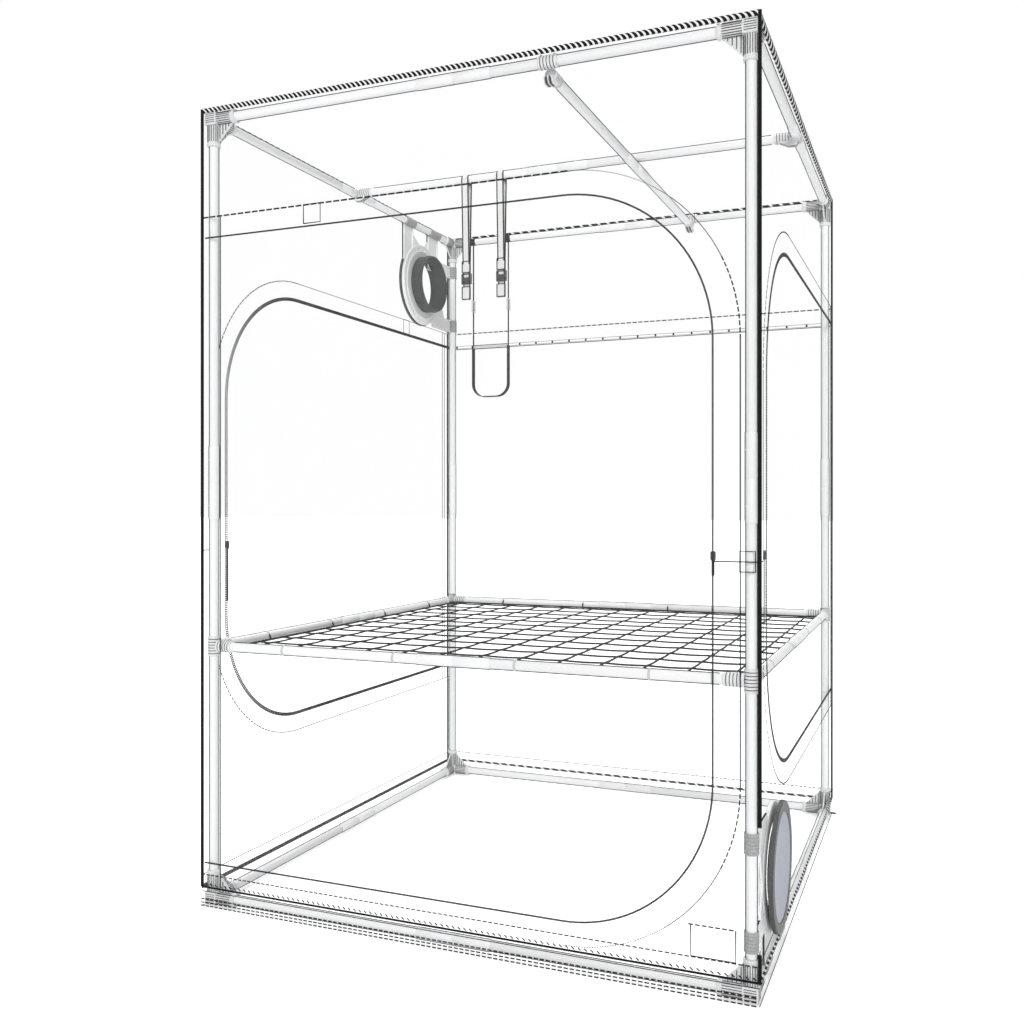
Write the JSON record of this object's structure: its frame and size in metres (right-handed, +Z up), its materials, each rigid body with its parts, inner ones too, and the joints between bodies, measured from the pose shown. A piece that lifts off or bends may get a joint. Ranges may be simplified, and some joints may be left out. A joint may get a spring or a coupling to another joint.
{
  "type": "indoor grow tent",
  "caption": "Clear zipped box tent on a tube frame, with a trellis net, tray, roof bars, hanging straps, a vent collar and a filtered air intake.",
  "frame": {"origin": "centre of the tent's footprint, on the underside of the floor sheet", "axes": "+Z up, -Y out through the front door, +X towards the wall with the filtered intake"},
  "size_m": [1.511, 1.5, 2.16],
  "materials": {
    "tube": "white powder coat on steel tube",
    "connector": "moulded, satin",
    "clear_film": "clear flexible film, smooth",
    "tray_film": "clear waterproof film",
    "black_tape": "woven tape",
    "black_cord": "knotted elastic cord",
    "slider": "black coated zinc",
    "grey_plastic": "moulded, fine grain",
    "dark_plastic": "moulded, fine grain",
    "filter_mat": "felted filter mat",
    "webbing": "woven polyester webbing"
  },
  "bodies": {
    "tent": {"pole_front_left": "tube", "pole_front_right": "tube", "pole_rear_right": "tube", "pole_rear_left": "tube", "bottom_rail_front": "tube", "bottom_rail_rear": "tube", "bottom_rail_left": "tube", "bottom_rail_right": "tube", "net_rail_front": "tube", "net_rail_rear": "tube", "net_rail_left": "tube", "net_rail_right": "tube", "top_rail_front": "tube", "top_rail_rear": "tube", "top_rail_left": "tube", "top_rail_right": "tube", "roof_bar_across": "tube", "roof_bar_deep": "tube", "corner_bottom_front_left": "connector", "corner_bottom_front_right": "connector", "corner_bottom_rear_right": "connector", "corner_bottom_rear_left": "connector", "corner_top_front_left": "connector", "corner_top_front_right": "connector", "corner_top_rear_right": "connector", "corner_top_rear_left": "connector", "roof_clip_left": "connector", "roof_clip_right": "connector", "roof_clip_front": "connector", "roof_clip_rear": "connector", "net_clamp_front_left": "connector", "net_clamp_front_right": "connector", "net_clamp_rear_right": "connector", "net_clamp_rear_left": "connector", "trellis_net": "black_cord", "floor_sheet": "clear_film", "floor_tray": "tray_film", "front_wall": "clear_film", "left_wall": "clear_film", "right_wall": "clear_film", "rear_wall": "clear_film", "roof_panel": "clear_film", "edge_binding": "black_tape", "front_zip": "black_tape", "side_and_rear_zip": "black_tape", "vent_plate": "grey_plastic", "vent_collar": "dark_plastic", "intake_plate": "grey_plastic", "intake_ring": "dark_plastic", "intake_filter": "filter_mat"},
    "front_door": {"front_door": "clear_film"},
    "left_door": {"left_door": "clear_film"},
    "right_door": {"right_door": "clear_film"},
    "rear_panel": {"rear_panel": "clear_film"},
    "front_slider": {"front_slider": "slider"},
    "left_slider": {"left_slider": "slider"},
    "right_slider": {"right_slider": "slider"},
    "strap_left": {"strap_left": "webbing"},
    "strap_right": {"strap_right": "webbing"},
    "rear_sling": {"rear_sling": "webbing"}
  },
  "joints": [
    {"name": "front_door_hinge", "type": "hinge", "parent": "tent", "child": "front_door", "pos_m": [-0.7417, -0.75, 0], "axis": [0, 0, 1], "range_deg": [-170, 0]},
    {"name": "left_door_hinge", "type": "hinge", "parent": "tent", "child": "left_door", "pos_m": [-0.75, 0.7417, 0], "axis": [0, 0, 1], "range_deg": [-170, 0]},
    {"name": "right_door_hinge", "type": "hinge", "parent": "tent", "child": "right_door", "pos_m": [0.75, 0.7417, 0], "axis": [0, 0, 1], "range_deg": [0, 170]},
    {"name": "rear_panel_hinge", "type": "hinge", "parent": "tent", "child": "rear_panel", "pos_m": [0, 0.75, 0.443], "axis": [1, 0, 0], "range_deg": [-105, 0]},
    {"name": "front_slider_slide", "type": "slide", "parent": "tent", "child": "front_slider", "axis": [0, 0, 1], "range_m": [-0.4, 0.45]},
    {"name": "left_slider_slide", "type": "slide", "parent": "tent", "child": "left_slider", "axis": [0, 0, 1], "range_m": [-0.1, 0.38]},
    {"name": "right_slider_slide", "type": "slide", "parent": "tent", "child": "right_slider", "axis": [0, 0, 1], "range_m": [-0.1, 0.38]},
    {"name": "strap_left_swing", "type": "hinge", "parent": "tent", "child": "strap_left", "pos_m": [-0.319, 0, 2.1389], "axis": [1, 0, 0], "range_deg": [-75, 75]},
    {"name": "strap_right_swing", "type": "hinge", "parent": "tent", "child": "strap_right", "pos_m": [-0.196, 0, 2.1389], "axis": [1, 0, 0], "range_deg": [-75, 75]},
    {"name": "rear_sling_swing", "type": "hinge", "parent": "tent", "child": "rear_sling", "pos_m": [-0.567, 0.7276, 2.1389], "axis": [1, 0, 0], "range_deg": [-60, 0]}
  ]
}
